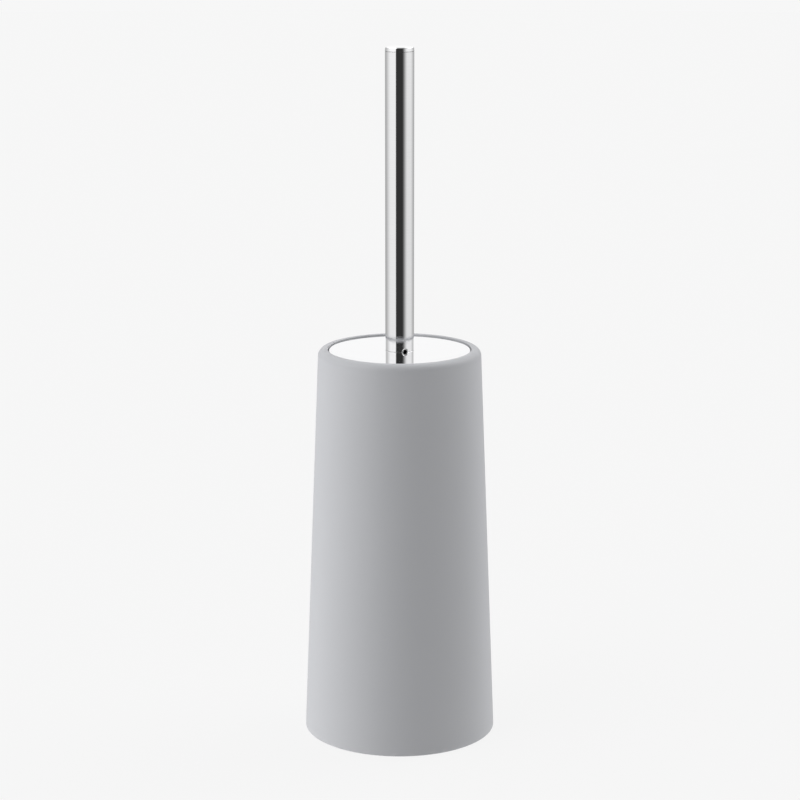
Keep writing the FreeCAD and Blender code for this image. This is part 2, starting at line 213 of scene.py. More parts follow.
def placed(name, mesh, body, nodes, smooth_to):
    """Object for a finished mesh, riding on a body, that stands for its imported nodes."""
    mesh.polygons.foreach_set("use_smooth", np.ones(len(mesh.polygons), dtype=bool))
    mesh.set_sharp_from_angle(angle=math.radians(smooth_to))
    mesh.update()
    piece = bpy.data.objects.new(name, mesh)
    bpy.context.scene.collection.objects.link(piece)
    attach(piece, body)
    if nodes:
        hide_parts(*nodes)
    return piece


def new_piece(name, points, faces, body, *nodes, smooth_to=35.0):
    """Piece from an array of points and lists of faces."""
    mesh = bpy.data.meshes.new(name)
    mesh.from_pydata(points.tolist(), [], faces)
    mesh.validate()
    return placed(name, mesh, body, nodes, smooth_to)


def merged_copy(name, node, body, smooth_to=30.0):
    """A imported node's own surface, with its loose triangles joined and its curves shaded smooth."""
    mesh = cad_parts[node].data.copy()
    mesh.name = name
    work = bmesh.new()
    work.from_mesh(mesh)
    bmesh.ops.remove_doubles(work, verts=work.verts, dist=1e-6)
    work.to_mesh(mesh)
    work.free()
    return placed(name, mesh, body, [node], smooth_to)


def section(corners, closed):
    """Outline with rounded corners, as an array of (radius, height).

    A corner (r, z, round) becomes an arc that touches both of its sides. A point close to each
    end of every straight side keeps the shading of flat faces flat.
    """
    corners = [tuple(c) if len(c) == 3 else (*c, 0.0) for c in corners]
    count = len(corners)
    points = []
    for index, (radius, height, size) in enumerate(corners):
        here = np.array([radius, height])
        if not closed and index in (0, count - 1):
            points.append(here[None])
            continue
        before = np.array(corners[index - 1][:2]) - here
        after = np.array(corners[(index + 1) % count][:2]) - here
        before_length, after_length = np.linalg.norm(before), np.linalg.norm(after)
        before, after = before / before_length, after / after_length
        setback = 0.0
        arc = here[None]
        if size > 0:
            half = math.acos(np.clip(before @ after, -1, 1)) / 2
            setback = size / math.tan(half)
            inward = (before + after) / np.linalg.norm(before + after)
            middle = here + inward * size / math.sin(half)
            start, end = here + before * setback - middle, here + after * setback - middle
            turn = math.atan2(start[0] * end[1] - start[1] * end[0], start @ end)
            steps = max(ARC_LEAST, int(math.degrees(abs(turn)) / ARC_STEP))
            angle = np.linspace(0, turn, steps + 1)[:, None]
            side = np.array([-start[1], start[0]])
            arc = middle + start * np.cos(angle) + side * np.sin(angle)
        rest = LEAD_SHARE * min(before_length - setback, after_length - setback)
        far = setback + min(EDGE, max(rest, LEAD_LEAST))
        points += [(here + before * far)[None], arc, (here + after * far)[None]]
    return np.concatenate(points)


def grid_piece(name, body, grid, index, wrap_rows, *nodes):
    """Quads between neighbouring rows and columns of a grid that closes in its columns.

    Corners that share an index are one point, so a row of equal indices is a pole.
    """
    below = index if wrap_rows else index[:-1]
    above = np.roll(index, -1, 0) if wrap_rows else index[1:]
    quads = np.stack([below, above, np.roll(above, -1, 1), np.roll(below, -1, 1)], -1)
    quads = quads.reshape(-1, 4)
    used, renumbered = np.unique(quads, return_inverse=True)
    quads = renumbered.reshape(quads.shape)
    distinct = quads != np.roll(quads, -1, 1)
    faces = [quad[keep].tolist() for quad, keep in zip(quads, distinct)]
    return new_piece(name, grid.reshape(-1, 3)[used], faces, body, *nodes)


def turned(name, body, corners, *nodes, segments=SEGMENTS, closed=True):
    """Section carried round the Z axis: a point (r, z) goes to (r cos a, r sin a, z).

    A closed section makes a ring. An open one starts and ends on the axis, where its end
    rings are single points.
    """
    outline = section(corners, closed)
    following = np.roll(outline, -1, 0)
    area = (outline[:, 0] * following[:, 1] - following[:, 0] * outline[:, 1]).sum()
    if area > 0:
        outline = outline[::-1]
    angle = np.arange(segments) * TURN / segments
    rings = np.stack([
        outline[:, :1] * np.cos(angle),
        outline[:, :1] * np.sin(angle),
        np.repeat(outline[:, 1:], segments, 1),
    ], -1)
    index = np.arange(rings.shape[0] * segments).reshape(-1, segments)
    if not closed:
        index[0] = index[0, 0]
        index[-1] = index[-1, 0]
    return grid_piece(name, body, rings, index, closed, *nodes)


def face_outwards(mesh):
    """Turn every face of a closed mesh outwards."""
    work = bmesh.new()
    work.from_mesh(mesh)
    bmesh.ops.recalc_face_normals(work, faces=work.faces)
    work.to_mesh(mesh)
    work.free()


def prisms(name, body, outline, width, count, first):
    """Flat (radius, height) outline given a width across, in evenly spaced copies round Z."""
    outline = np.array(outline)
    corners = len(outline)
    sides = np.array([-width / 2, width / 2])
    shape = np.stack([
        np.repeat(outline[None, :, 0], 2, 0),
        np.repeat(sides[:, None], corners, 1),
        np.repeat(outline[None, :, 1], 2, 0),
    ], -1).reshape(-1, 3)
    angle = first + np.arange(count) * TURN / count
    cos, sin = np.cos(angle)[:, None], np.sin(angle)[:, None]
    x = shape[:, 0] * cos - shape[:, 1] * sin
    y = shape[:, 0] * sin + shape[:, 1] * cos
    points = np.stack([x, y, np.broadcast_to(shape[:, 2], x.shape)], -1).reshape(-1, 3)
    around = np.arange(corners)
    onward = np.roll(around, -1)
    walls = np.stack([around, onward, onward + corners, around + corners], -1)
    faces = []
    for start in range(0, count * 2 * corners, 2 * corners):
        faces += (walls + start).tolist()
        faces.append((around[::-1] + start).tolist())
        faces.append((around + corners + start).tolist())
    piece = new_piece(name, points, faces, body, smooth_to=20)
    face_outwards(piece.data)
    bevel = piece.modifiers.new("edges", "BEVEL")
    bevel.width = SMALL_ROUND
    bevel.segments = 3
    bevel.limit_method = "ANGLE"
    return piece


def thread_ridge(name, body, root, crest, pitch, bottom, top, phase=0.0):
    """Right-handed screw ridge: a trapezoid carried up a helix, z = pitch * angle / turn.

    Its height fades almost to nothing over the first and last third of a turn.
    """
    turns = (top - bottom) / pitch - 2 * RIDGE_START
    along = np.linspace(0, turns, int(turns * RIDGE_STEPS) + 1)
    angle = along * TURN + phase
    fade = np.clip(np.minimum(along, turns - along) * RIDGE_RUNOUT, RIDGE_LEAST, 1)
    sunk = np.full_like(along, root - RIDGE_ROOT * np.sign(crest - root))
    raised = root + (crest - root) * fade
    centre = bottom + pitch * (along + RIDGE_START)
    flat = RIDGE_FLAT * pitch
    flank = (RIDGE_FOOT - RIDGE_FLAT) * pitch * fade
    radii = np.stack([sunk, raised, raised, sunk], 1)
    rise = np.stack([-flat - flank, -flat + 0 * flank, flat + 0 * flank, flat + flank], 1)
    heights = centre[:, None] + rise
    cos, sin = np.cos(angle)[:, None], np.sin(angle)[:, None]
    points = np.stack([radii * cos, radii * sin, heights], -1)
    index = np.arange(points.shape[0] * 4).reshape(-1, 4)
    here, there = index[:-1], index[1:]
    quads = np.stack([here, there, np.roll(there, -1, 1), np.roll(here, -1, 1)], -1).reshape(-1, 4)
    faces = quads.tolist() + [index[0].tolist(), index[-1][::-1].tolist()]
    piece = new_piece(name, points.reshape(-1, 3), faces, body, smooth_to=50)
    face_outwards(piece.data)
    return piece


# ---- shader building ---------------------------------------------------------------------


class Wire:
    """One output of a node. Arithmetic on it, with numbers or other wires, adds Math nodes."""

    def __init__(self, graph, socket):
        self.graph = graph
        self.socket = socket

    def __add__(self, other):
        return self.graph.math("ADD", self, other)

    def __radd__(self, other):
        return self.graph.math("ADD", other, self)

    def __sub__(self, other):
        return self.graph.math("SUBTRACT", self, other)

    def __rsub__(self, other):
        return self.graph.math("SUBTRACT", other, self)

    def __mul__(self, other):
        return self.graph.math("MULTIPLY", self, other)

    def __rmul__(self, other):
        return self.graph.math("MULTIPLY", other, self)

    def ramp(self, start, end):
        """Smooth step from 0 at start to 1 at end; start may be above end."""
        return self.graph.node(
            "ShaderNodeMapRange",
            {"interpolation_type": "SMOOTHSTEP"},
            {"Value": self, "From Min": start, "From Max": end, "To Min": 0.0, "To Max": 1.0},
        )


class Graph:
    """A node tree under construction."""

    def __init__(self, tree):
        self.tree = tree
        tree.nodes.clear()

    def node(self, kind, settings=None, inputs=None, output=0):
        """Add a node, set its settings and then its inputs, and give one of its outputs."""
        made = self.tree.nodes.new(kind)
        for key, value in (settings or {}).items():
            setattr(made, key, value)
        for key, value in (inputs or {}).items():
            if isinstance(value, Wire):
                self.tree.links.new(value.socket, made.inputs[key])
            else:
                made.inputs[key].default_value = value
        return Wire(self, made.outputs[output]) if made.outputs else made

    def math(self, operation, *terms):
        return self.node("ShaderNodeMath", {"operation": operation}, dict(enumerate(terms)))

    def place(self):
        return self.node("ShaderNodeTexCoord", output="Object")

    def split(self, vector):
        """The three components of a vector."""
        first = self.node("ShaderNodeSeparateXYZ", {}, {"Vector": vector})
        return [Wire(self, socket) for socket in first.socket.node.outputs]

    def joined(self, **parts):
        """Vector with components X, Y and Z, of which those left out are zero."""
        return self.node("ShaderNodeCombineXYZ", {}, parts)

    def height(self):
        """Height of a point of the piece."""
        return self.split(self.place())[2]

    def radius(self):
        """Distance of a point of the piece from the Z axis."""
        x, y, _ = self.split(self.place())
        return self.math("SQRT", x * x + y * y)

    def noise(self, vector, scale, detail=2.0, rough=0.5):
        """Noise from 0 to 1 with scale grains to the metre."""
        inputs = {"Vector": vector, "Scale": scale, "Detail": detail, "Roughness": rough}
        return self.node("ShaderNodeTexNoise", {}, inputs)

    def blend(self, factor, first, second):
        """Colour between two colours."""
        settings = {"data_type": "RGBA"}
        return self.node("ShaderNodeMix", settings, {0: factor, 6: first, 7: second}, output=2)

    def bump(self, height, depth, strength):
        """Normal from a height in 0..1 that stands for a depth in metres."""
        inputs = {"Height": height, "Distance": depth, "Strength": strength}
        return self.node("ShaderNodeBump", {}, inputs)


def principled(graph, **inputs):
    named = {key.replace("_", " "): value for key, value in inputs.items()}
    return graph.node("ShaderNodeBsdfPrincipled", {}, named)


def material(name, build):
    """Material whose surface is what build(graph) returns."""
    made = bpy.data.materials.new(name)
    made.use_nodes = True
    graph = Graph(made.node_tree)
    graph.node("ShaderNodeOutputMaterial", {}, {"Surface": build(graph)})
    return made


# ---- finishes ------------------------------------------------------------------------


def grey(level):
    return (level, level, level, 1.0)


# pairs of linear colours between which a finish varies
SOFT_GREYS = (0.425, 0.431, 0.449, 1), (0.443, 0.449, 0.468, 1)
MIRROR_GREYS = (0.83, 0.832, 0.84, 1), (0.90, 0.90, 0.905, 1)
LATHE_GREYS = (0.52, 0.52, 0.515, 1), (0.66, 0.66, 0.655, 1)
ZINC_GREYS = (0.50, 0.50, 0.47, 1), (0.66, 0.65, 0.60, 1)
MILKY_WHITES = (0.80, 0.79, 0.74, 1), (0.88, 0.87, 0.83, 1)
FILAMENT_WHITES = (0.78, 0.785, 0.78, 1), (0.93, 0.93, 0.92, 1)
CLEAR_TIP = (0.97, 0.97, 0.98, 1)
RUBBER_AND_DUST = (0.022, 0.022, 0.022, 1), (0.114, 0.11, 0.106, 1)
SCUFF = (0.57, 0.575, 0.585, 1)
# painted shade: near-black colour for the shadow lines under the cap and at the handle tube's foot
PAINTED_SHADE = grey(0.02)

HANDLED_BAND = 22 * MM  # below the shell's crest, polished by hands
SCUFFED_BAND = 3 * MM  # above the shell's foot
TUBE_LINE_DEPTH = 0.011 * MM
DISC_LINE_DEPTH = 0.0003 * MM
BUFFING_SCALE = 5200.0  # buffing lines to the metre
GROOVE_STARTS = 0.04 * MM  # depths between which a groove's shade sets in
GROOVE_FULL = 0.1 * MM
# height over which the painted shade fades out above a seam
PAINTED_SHADE_FADE = 0.02 * MM


def soft_touch_plastic(graph):
    """Matt soft-touch coat: very fine grain, faint cloudiness, hands' polish near the rim."""
    place = graph.place()
    height = graph.height()
    grain = graph.noise(place, 4200.0, detail=3.0, rough=0.6)
    cloud = graph.noise(place, 16.0, detail=3.0, rough=0.55)
    patches = graph.noise(place, 260.0, detail=4.0).ramp(0.5, 0.72)
    handled = height.ramp(SHELL_CREST - HANDLED_BAND, SHELL_CREST)
    scuffed = height.ramp(SHELL_FOOT + SCUFFED_BAND, SHELL_FOOT) * patches
    colour = graph.blend(scuffed * 0.35, graph.blend(cloud, *SOFT_GREYS), SCUFF)
    roughness = 0.56 + grain * 0.07 - cloud * 0.05 - handled * 0.07
    normal = graph.bump(grain, 0.02 * MM, 0.35)
    return principled(graph, Base_Color=colour, Roughness=roughness, Normal=normal,
                      Specular_IOR_Level=0.42)


def moulded_plastic(level, base_roughness, grain_size, depth):
    """Moulded plastic of one grey, with the fine spark-eroded grain of its mould."""
    def build(graph):
        place = graph.place()
        grain = graph.noise(place, 1 / grain_size, detail=4.0, rough=0.62)
        cloud = graph.noise(place, 40.0)
        colour = graph.blend(cloud, grey(level * 0.94), grey(level * 1.06))
        roughness = base_roughness + grain * 0.12 - cloud * 0.05
        normal = graph.bump(grain, depth, 0.6)
        return principled(graph, Base_Color=colour, Roughness=roughness, Normal=normal)
    return build


def mirror_steel(graph, lines, depth, painted_shade=None):
    """Mirror-polished stainless steel with the last fine lines of the buffing wheel, and painted
    shade where a mask is given.
    """
    smear = graph.noise(graph.place(), 55.0, detail=4.0, rough=0.6).ramp(0.48, 0.78)
    colour = graph.blend(lines, *MIRROR_GREYS)
    metallic = 1.0
    roughness = 0.018 + lines * 0.022 + smear * 0.035
    # painted shade: the masked part of the groove turns near black, dull and not metallic
    if painted_shade is not None:
        colour = graph.blend(painted_shade, colour, PAINTED_SHADE)
        metallic = 1 - painted_shade
        roughness = roughness + painted_shade * 0.6
    return principled(graph, Base_Color=colour, Metallic=metallic, Roughness=roughness,
                      Normal=graph.bump(lines, depth, 0.8))


def painted_shade_below(graph, seam):
    """Mask of the painted shade in a groove in a tube's side, below the height of its seam."""
    in_groove = graph.radius().ramp(TUBE_RADIUS - GROOVE_STARTS, TUBE_RADIUS - GROOVE_FULL)
    return in_groove * graph.height().ramp(seam + PAINTED_SHADE_FADE, seam)


def tube_lines(graph):
    """Lines that run round a tube, which turns as it is polished."""
    stretched = graph.node("ShaderNodeVectorMath", {"operation": "MULTIPLY"},
                           {0: graph.place(), 1: (0.02, 0.02, 1.0)})
    return graph.noise(stretched, BUFFING_SCALE)


def disc_lines(graph):
    """Lines that are circles on a disc."""
    return graph.noise(graph.joined(X=graph.radius()), BUFFING_SCALE, detail=3.0, rough=0.6)


def polished_tube(graph):
    return mirror_steel(graph, tube_lines(graph), TUBE_LINE_DEPTH)


def polished_handle(graph):
    """The tube's polish, with painted shade in the shadow line at its foot."""
    painted_shade = painted_shade_below(graph, LID_TOP + FOOT_GAP)
    return mirror_steel(graph, tube_lines(graph), TUBE_LINE_DEPTH, painted_shade)


def polished_disc(graph):
    return mirror_steel(graph, disc_lines(graph), DISC_LINE_DEPTH)


def polished_cap(graph):
    """The disc's polish, with painted shade in the shadow line under the cap."""
    return mirror_steel(graph, disc_lines(graph), DISC_LINE_DEPTH, painted_shade_below(graph, CAP_SEAM))


def turned_steel(graph):
    """Lathe-turned steel with concentric tool lines."""
    across = graph.joined(X=graph.radius(), Z=graph.height())
    lines = graph.noise(across, 6500.0)
    stain = graph.noise(graph.place(), 120.0, detail=3.0)
    colour = graph.blend(stain, *LATHE_GREYS)
    roughness = 0.24 + lines * 0.14 + stain * 0.08
    normal = graph.bump(lines, 0.004 * MM, 0.7)
    return principled(graph, Base_Color=colour, Metallic=1.0, Roughness=roughness, Normal=normal)


def zinc_plate(graph):
    """Zinc-plated rod with a clouded, slightly yellow passivation."""
    place = graph.place()
    cloud = graph.noise(place, 420.0, detail=4.0, rough=0.6)
    colour = graph.blend(cloud, *ZINC_GREYS)
    normal = graph.bump(graph.noise(place, 2600.0, detail=3.0), 0.005 * MM, 0.6)
    roughness = 0.3 + cloud * 0.14
    return principled(graph, Base_Color=colour, Metallic=1.0, Roughness=roughness, Normal=normal)


def moulded_rubber(graph):
    """Soft black rubber, matt, with a little dust in its grain."""
    place = graph.place()
    grain = graph.noise(place, 2100.0, detail=4.0, rough=0.65)
    dust = graph.noise(place, 330.0, detail=5.0, rough=0.7).ramp(0.52, 0.8)
    colour = graph.blend(dust * 0.4, *RUBBER_AND_DUST)
    normal = graph.bump(grain, 0.03 * MM, 0.6)
    return principled(graph, Base_Color=colour, Roughness=0.74 + dust * 0.12, Normal=normal)


def natural_nylon(graph):
    """Cut nylon washer: milky, with faint turning lines."""
    lines = graph.noise(graph.joined(X=graph.radius()), 3000.0)
    colour = graph.blend(lines, *MILKY_WHITES)
    normal = graph.bump(lines, 0.01 * MM, 0.5)
    return principled(graph, Base_Color=colour, Roughness=0.38 + lines * 0.1, Normal=normal,
                      Subsurface_Weight=0.2, Subsurface_Scale=1.0 * MM)


def bristle_nylon(graph):
    """White filaments, clearer towards their tips, each a little different from the next."""
    shade = graph.node("ShaderNodeAttribute", {"attribute_name": "shade"}, output="Fac")
    along = graph.node("ShaderNodeAttribute", {"attribute_name": "along"}, output="Fac")
    white = graph.blend(shade, *FILAMENT_WHITES)
    colour = graph.blend(along.ramp(0.55, 1.0) * 0.3, white, CLEAR_TIP)
    return principled(graph, Base_Color=colour, Roughness=0.26 + shade * 0.16)


def finishes():
    """Every material of the object, by the kind of piece that it is for."""
    return {
        "shell": material("soft_touch_grey", soft_touch_plastic),
        "tube": material("polished_tube_steel", polished_tube),
        "handle": material("polished_handle_steel", polished_handle),
        "disc": material("polished_disc_steel", polished_disc),
        "cap": material("polished_cap_steel", polished_cap),
        "turned": material("turned_steel", turned_steel),
        "zinc": material("zinc_plate", zinc_plate),
        "cup": material("cup_plastic", moulded_plastic(0.052, 0.5, 0.5 * MM, 0.03 * MM)),
        "insert": material("insert_plastic", moulded_plastic(0.028, 0.44, 0.4 * MM, 0.025 * MM)),
        "core": material("core_plastic", moulded_plastic(0.74, 0.36, 0.7 * MM, 0.015 * MM)),
        "rubber": material("moulded_rubber", moulded_rubber),
        "nylon": material("natural_nylon", natural_nylon),
        "bristle": material("bristle_nylon", bristle_nylon),
    }


def dress(piece, finish):
    """Give a piece its one material."""
    piece.data.materials.clear()
    piece.data.materials.append(finish)


# ---- shell and base --------------------------------------------------------------------


def shell_outside(height):
    return SHELL_FOOT_RADIUS - SHELL_LEAN * (height - SHELL_FOOT)


def shell_inside(height):
    return shell_outside(height) - SHELL_WALL


def make_shell(look):
    """Conical shell: straight wall, thick rounded rim, and ledge for the lid."""
    ledge = low("lid_insert") + SPIGOT_DEPTH
    mouth = RIM_BORE - LEDGE_WIDTH
    ledge_foot = ledge - LEDGE_THICKNESS
    # where the ledge's 45 degree underside meets the wall
    chamfer_foot = (ledge_foot - shell_inside(0.0) + mouth) / (1 - SHELL_LEAN)
    shell = turned("shell", "shell", [
        (shell_inside(SHELL_FOOT), SHELL_FOOT, EDGE),
        (SHELL_FOOT_RADIUS, SHELL_FOOT, MOULDED_ROUND),
        (SHELL_MOUTH_RADIUS, SHELL_CREST, RIM_OUTER_ROUND),
        (RIM_BORE, SHELL_CREST, RIM_INNER_ROUND),
        (RIM_BORE, ledge, EDGE),
        (mouth, ledge, EDGE),
        (mouth, ledge_foot, EDGE),
        (shell_inside(chamfer_foot), chamfer_foot, LEDGE_FILLET),
    ], "outer_shell", segments=WIDE_SEGMENTS)
    dress(shell, look["shell"])


def make_shell_ribs(look):
    """Wedges inside the shell that stand on the cup's lip."""
    top = CUP_LIP + RIB_HEIGHT
    middle = SHELL_WALL / 2
    ribs = prisms("shell_ribs", "shell", [
        (shell_inside(CUP_LIP) - RIB_DEPTH, CUP_LIP),
        (shell_outside(CUP_LIP) - middle, CUP_LIP),
        (shell_outside(top) - middle, top),
        (shell_inside(top), top),
    ], RIB_WIDTH, RIB_COUNT, 0.0)
    dress(ribs, look["shell"])


def make_base(look):
    """Drip cup with a coved well, and the soft ring in the groove of its floor."""
    lip_radius = reach("base_cup")
    ring_outer = reach("foot_ring") + RING_FIT
    ring_inner = ring_outer - RING_WIDTH
    groove_top = high("foot_ring")
    floor_top = CUP_FOOT + CUP_FLOOR
    taper = CUP_TAPER * (CUP_LIP - floor_top) / (CUP_LIP - CUP_FOOT)
    cup = turned("cup", "base", [
        (0, CUP_FOOT),
        (ring_inner, CUP_FOOT, EDGE),
        (ring_inner, groove_top, EDGE),
        (ring_outer, groove_top, EDGE),
        (ring_outer, CUP_FOOT, EDGE),
        (lip_radius - CUP_TAPER, CUP_FOOT, PLUG_ROUND),
        (lip_radius, CUP_LIP, MOULDED_ROUND),
        (lip_radius - CUP_WALL, CUP_LIP, MOULDED_ROUND),
        (lip_radius - taper - CUP_WALL, floor_top, CUP_COVE),
        (0, floor_top),
    ], "base_cup", closed=False)
    dress(cup, look["cup"])
    ring = turned("foot_pad", "base", [
        (ring_inner + RING_FIT, 0, RING_ROUND),
        (ring_outer - RING_FIT, 0, RING_ROUND),
        (ring_outer - RING_FIT, groove_top, EDGE),
        (ring_inner + RING_FIT, groove_top, EDGE),
    ], "foot_ring")
    dress(ring, look["rubber"])


# ---- lid -------------------------------------------------------------------------------


def make_lid(look):
    """Steel disc with a turned-down skirt over a ribbed plastic insert."""
    insert_foot = low("lid_insert")
    skirt_foot = low("lid_plate")
    underside = LID_TOP - LID_SHEET
    skirt_inside = LID_RADIUS - LID_SHEET
    plate = turned("lid_disc", "lid", [
        (PIVOT_BORE, underside, SHEET_EDGE),
        (skirt_inside, underside, SHEET_EDGE),
        (skirt_inside, skirt_foot, SHEET_EDGE),
        (LID_RADIUS, skirt_foot, SHEET_EDGE),
        (LID_RADIUS, LID_TOP, LID_EDGE_ROUND),
        (PIVOT_BORE, LID_TOP, SHEET_EDGE),
    ], "lid_plate", segments=WIDE_SEGMENTS)
    dress(plate, look["disc"])
    ledge = insert_foot + SPIGOT_DEPTH
    spigot = RIM_BORE - LEDGE_WIDTH - SPIGOT_GAP
    hollow = spigot - SPIGOT_WALL
    plate_foot = underside - INSERT_PLATE
    boss_foot = underside - INSERT_BOSS_DEPTH
    outer = skirt_inside - INSERT_FIT
    insert = turned("lid_carrier", "lid", [
        (PIVOT_BORE, boss_foot, EDGE),
        (INSERT_BOSS_RADIUS, boss_foot, MOULDED_ROUND),
        (INSERT_BOSS_RADIUS, plate_foot, FILLET),
        (hollow, plate_foot, FILLET),
        (hollow, insert_foot, MOULDED_ROUND),
        (spigot - SPIGOT_LEAD, insert_foot, SMALL_ROUND),
        (spigot, insert_foot + SPIGOT_LEAD, SMALL_ROUND),
        (spigot, ledge, EDGE),
        (outer, ledge, EDGE),
        (outer, underside, EDGE),
        (PIVOT_BORE, underside, EDGE),
    ], "lid_insert", segments=WIDE_SEGMENTS)
    dress(insert, look["insert"])
    boss_middle = (PIVOT_BORE + INSERT_BOSS_RADIUS) / 2
    wall_middle = (hollow + spigot) / 2
    rib_foot = plate_foot - INSERT_RIB_DEPTH
    rib_top = (plate_foot + underside) / 2
    ribs = prisms("lid_carrier_ribs", "lid", [
        (boss_middle, rib_foot),
        (wall_middle, rib_foot),
        (wall_middle, rib_top),
        (boss_middle, rib_top),
    ], INSERT_RIB_WIDTH, INSERT_RIB_COUNT, math.pi / INSERT_RIB_COUNT)
    dress(ribs, look["insert"])


# ---- handle and stem -----------------------------------------------------------------------


def notch_height(angle, radius, size):
    """Height of a half-round notch above the tube's foot, at an angle round a tube of a radius.

    It is the height of a level cylinder's wall at its sideways distance from the notch's middle.
    """
    turn = angle - VENT_AZIMUTH
    aside = radius * np.sin(turn)
    height = np.sqrt(np.maximum(size ** 2 - aside ** 2, 0))
    return np.where(np.cos(turn) > 0, height, 0)


def make_handle_tube(look):
    """Tube whose foot follows the drain notch: the rows near the foot rise with the notch.

    Its outer edge stands clear of the lid by a shadow line. Columns are close at the notch.
    """
    foot = low("handle_tube")
    length = high("handle_tube") - foot
    even = np.arange(SEGMENTS) * TURN / SEGMENTS - math.pi
    close = VENT_AZIMUTH + np.linspace(-VENT_HALF_WIDTH, VENT_HALF_WIDTH, VENT_COLUMNS)
    angle = np.unique(np.round(np.concatenate([even, close]), 5))
    inner_rise = notch_height(angle, TUBE_BORE, VENT_RADIUS)
    throat_rise = notch_height(angle, TUBE_RADIUS, VENT_RADIUS)
    outer_rise = notch_height(angle, TUBE_RADIUS, VENT_RADIUS + VENT_FLARE)
    throat = TUBE_RADIUS - FOOT_STEP
    level = np.zeros_like(angle)
    # (radius, height above the foot, rise of the notch)
    rows = [
        (TUBE_BORE, 0.0, inner_rise),
        (throat, 0.0, throat_rise),
        (throat, FOOT_GAP, throat_rise),
        (TUBE_RADIUS - FOOT_CHAMFER, FOOT_GAP, outer_rise),
        (TUBE_RADIUS, FOOT_GAP + FOOT_CHAMFER, outer_rise),
        (TUBE_RADIUS, FOOT_GAP + 2 * FOOT_CHAMFER, outer_rise),
        (TUBE_RADIUS, VENT_RECESS, level),
        (TUBE_RADIUS, length / 2, level),
        (TUBE_RADIUS, length - 3 * SEAM_EDGE, level),
        (TUBE_RADIUS, length - SEAM_EDGE, level),
        (TUBE_RADIUS - 0.3 * SEAM_EDGE, length - 0.3 * SEAM_EDGE, level),
        (TUBE_RADIUS - SEAM_EDGE, length, level),
        (TUBE_BORE, length, level),
        (TUBE_BORE, VENT_RECESS, level),
    ]
    grid = np.stack([
        np.stack([radius * np.cos(angle), radius * np.sin(angle), foot + height + rise], -1)
        for radius, height, rise in rows
    ])[::-1]
    index = np.arange(grid.shape[0] * grid.shape[1]).reshape(grid.shape[:2])
    tube = grid_piece("handle", "handle", grid, index, True, "handle_tube")
    dress(tube, look["handle"])


def make_handle_cap(look):
    """Cap with its hollow plug, over a shadow line."""
    plug_foot, top = low("handle_cap"), high("handle_cap")
    rim_foot = CAP_SEAM - SEAM_WIDTH
    cap = turned("handle_top", "handle", [
        (0, rim_foot),
        (PLUG_RADIUS - CAP_PLUG_WALL, rim_foot, EDGE),
        (PLUG_RADIUS - CAP_PLUG_WALL, plug_foot, EDGE),
        (PLUG_RADIUS, plug_foot, EDGE),
        (PLUG_RADIUS, rim_foot),
        (TUBE_RADIUS - SEAM_DEPTH, rim_foot),
        (TUBE_RADIUS - SEAM_DEPTH, rim_foot + SEAM_WIDTH),
        (TUBE_RADIUS, rim_foot + SEAM_WIDTH, SEAM_EDGE),
        (TUBE_RADIUS - CAP_DRAFT, top, CAP_ROUND),
        (0, top),
    ], "handle_cap", closed=False)
    dress(cap, look["cap"])


def make_handle_plug(look):
    """Plug in the handle's foot, with the neck on which the lid turns."""
    foot, top = low("handle_insert"), high("handle_insert")
    shoulder = LID_TOP + VENT_RECESS
    bore_top = high("joining_stud") + STUD_END_GAP
    plug = turned("handle_plug", "handle", [
        (0, bore_top),
        (STUD_BORE, bore_top),
        (STUD_BORE, foot, EDGE),
        (PIVOT_RADIUS, foot, EDGE),
        (PIVOT_RADIUS, shoulder, PLUG_ROUND),
        (PLUG_RADIUS, shoulder, PLUG_ROUND),
        (PLUG_RADIUS, top, MOULDED_ROUND),
        (0, top),
    ], "handle_insert", segments=SMALL_SEGMENTS, closed=False)
    dress(plug, look["turned"])


def make_stud(look):
    """Threaded rod that clamps handle and stem together through the lid."""
    foot, top = low("joining_stud"), high("joining_stud")
    core = STUD_RADIUS - STUD_THREAD_DEPTH
    rod = turned("clamp_rod", "handle", [
        (0, foot),
        (core, foot, PLUG_ROUND),
        (core, top, PLUG_ROUND),
        (0, top),
    ], "joining_stud", segments=ROD_SEGMENTS, closed=False)
    dress(rod, look["zinc"])
    ridge = thread_ridge("clamp_rod_thread", "handle", core, STUD_RADIUS, STUD_PITCH,
                         foot + PLUG_ROUND, top - PLUG_ROUND)
    dress(ridge, look["zinc"])


def washer_section(node, radius, bore_round, outer_round):
    """Corners of a flat washer of a radius, as high as its node."""
    return [
        (WASHER_BORE, low(node), bore_round),
        (radius, low(node), outer_round),
        (radius, high(node), outer_round),
        (WASHER_BORE, high(node), bore_round),
    ]


def make_stem(look):
    """Lower tube with the collar plug at its top, and the washer under the lid."""
    outline = washer_section("lid_washer", reach("lid_washer"), EDGE, SMALL_ROUND)
    washer = turned("lid_spacer", "handle", outline, "lid_washer", segments=SMALL_SEGMENTS)
    dress(washer, look["nylon"])
    stem_foot, stem_top = low("stem_tube"), high("stem_tube")
    collar_foot, collar_top = low("stem_top_insert"), high("stem_top_insert")
    bore_foot = low("joining_stud") - STUD_END_GAP
    collar = turned("stem_collar", "handle", [
        (0, collar_foot),
        (PLUG_RADIUS, collar_foot, MOULDED_ROUND),
        (PLUG_RADIUS, stem_top),
        (TUBE_RADIUS, stem_top, COLLAR_EDGE),
        (TUBE_RADIUS, collar_top, COLLAR_ROUND),
        (STUD_BORE, collar_top, EDGE),
        (STUD_BORE, bore_foot),
        (0, bore_foot),
    ], "stem_top_insert", closed=False)
    dress(collar, look["turned"])
    tube = turned("stem", "handle", [
        (TUBE_BORE, stem_foot, SHEET_EDGE),
        (TUBE_RADIUS, stem_foot, SMALL_ROUND),
        (TUBE_RADIUS, stem_top, COLLAR_EDGE),
        (TUBE_BORE, stem_top, SHEET_EDGE),
    ], "stem_tube")
    dress(tube, look["tube"])


